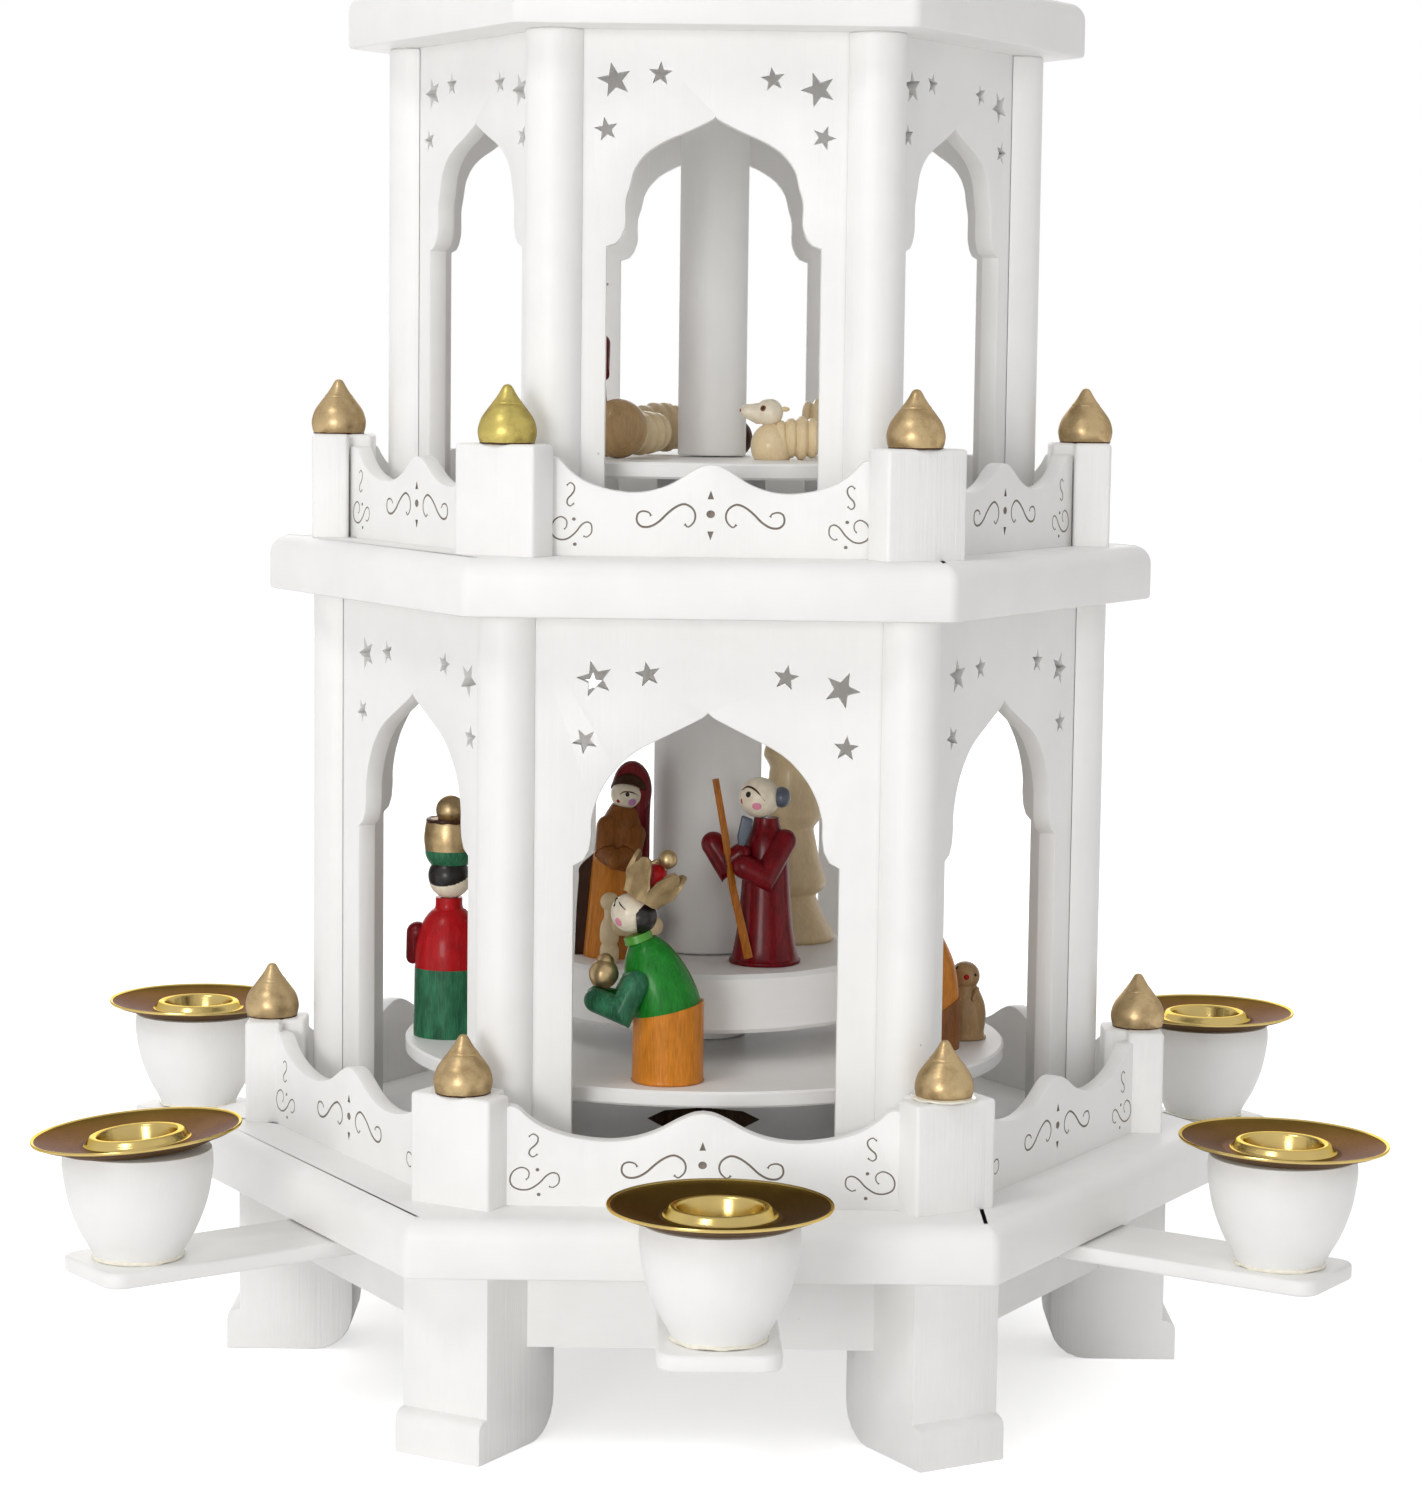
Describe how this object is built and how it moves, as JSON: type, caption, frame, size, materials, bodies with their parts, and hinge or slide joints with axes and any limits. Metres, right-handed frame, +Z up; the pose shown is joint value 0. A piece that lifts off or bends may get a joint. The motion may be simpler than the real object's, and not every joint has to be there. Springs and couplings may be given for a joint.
{
  "type": "candle carousel",
  "caption": "Tiered six-sided candle carousel of white painted wood: candle arms around arcaded storeys whose figures turn with a rotor on top.",
  "frame": {"origin": "on the floor, on the turning axis, under the middle of the base", "axes": "+Z up along the turning axis, -Y to the front, between two legs"},
  "size_m": [0.334, 0.3474, 0.486],
  "materials": {
    "white_paint": "brushed satin white paint over wood",
    "bare_wood": "unpainted",
    "natural_wood": "turned and clear varnished",
    "gold_paint": "bronze-gold paint over turned wood",
    "brass": "polished pressed sheet",
    "steel": "drawn rod",
    "dark_red_stain": "glossy stain over turned wood",
    "red_stain": "glossy stain over turned wood",
    "green_stain": "glossy stain over turned wood",
    "orange_stain": "satin stain over turned wood"
  },
  "bodies": {
    "stand": {"base_plate": "white_paint", "bearing_bridge": "bare_wood", "bearing_cup": "brass", "second_deck": "white_paint", "third_deck": "white_paint", "roof_plate": "white_paint", "top_bearing_bush": "brass", "apron_ring": "white_paint", "leg_1": "white_paint", "leg_2": "white_paint", "leg_3": "white_paint", "leg_4": "white_paint", "leg_5": "white_paint", "leg_6": "white_paint", "candle_arm_1": "white_paint", "candle_arm_2": "white_paint", "candle_arm_3": "white_paint", "candle_arm_4": "white_paint", "candle_arm_5": "white_paint", "candle_arm_6": "white_paint", "candle_cup_1": "white_paint", "candle_cup_2": "white_paint", "candle_cup_3": "white_paint", "candle_cup_4": "white_paint", "candle_cup_5": "white_paint", "candle_cup_6": "white_paint", "lower_arcade": "white_paint", "lower_balustrade": "white_paint", "middle_arcade": "white_paint", "middle_balustrade": "white_paint", "upper_arcade": "white_paint", "upper_balustrade": "white_paint"},
    "carousel": {"drive_shaft": "steel", "lower_turntable": "white_paint", "pedestal": "white_paint", "middle_turntable": "white_paint", "upper_turntable": "white_paint", "lower_column": "white_paint", "middle_column": "white_paint", "upper_column": "white_paint", "rotor": "white_paint", "rotor_knob": "gold_paint", "man_with_staff": "dark_red_stain", "hooded_woman": "orange_stain", "manger_child": "natural_wood", "ring_tree": "natural_wood", "king_standing": "red_stain", "king_kneeling": "green_stain", "king_robed": "orange_stain", "lamb": "natural_wood", "sheep_1": "natural_wood", "sheep_2": "natural_wood", "shepherd": "dark_red_stain", "angel_choir": "natural_wood"},
    "dish_1": {"drip_dish_1": "brass"},
    "dish_2": {"drip_dish_2": "brass"},
    "dish_3": {"drip_dish_3": "brass"},
    "dish_4": {"drip_dish_4": "brass"},
    "dish_5": {"drip_dish_5": "brass"},
    "dish_6": {"drip_dish_6": "brass"}
  },
  "joints": [
    {"name": "carousel_spin", "type": "hinge", "parent": "stand", "child": "carousel", "pos_m": [0, 0, 0], "axis": [0, 0, 1], "continuous": true},
    {"name": "dish_lift_1", "type": "slide", "parent": "stand", "child": "dish_1", "axis": [0, 0, 1], "range_m": [0, 0.0142]},
    {"name": "dish_lift_2", "type": "slide", "parent": "stand", "child": "dish_2", "axis": [0, 0, 1], "range_m": [0, 0.0142]},
    {"name": "dish_lift_3", "type": "slide", "parent": "stand", "child": "dish_3", "axis": [0, 0, 1], "range_m": [0, 0.0142]},
    {"name": "dish_lift_4", "type": "slide", "parent": "stand", "child": "dish_4", "axis": [0, 0, 1], "range_m": [0, 0.0142]},
    {"name": "dish_lift_5", "type": "slide", "parent": "stand", "child": "dish_5", "axis": [0, 0, 1], "range_m": [0, 0.0142]},
    {"name": "dish_lift_6", "type": "slide", "parent": "stand", "child": "dish_6", "axis": [0, 0, 1], "range_m": [0, 0.0142]}
  ]
}
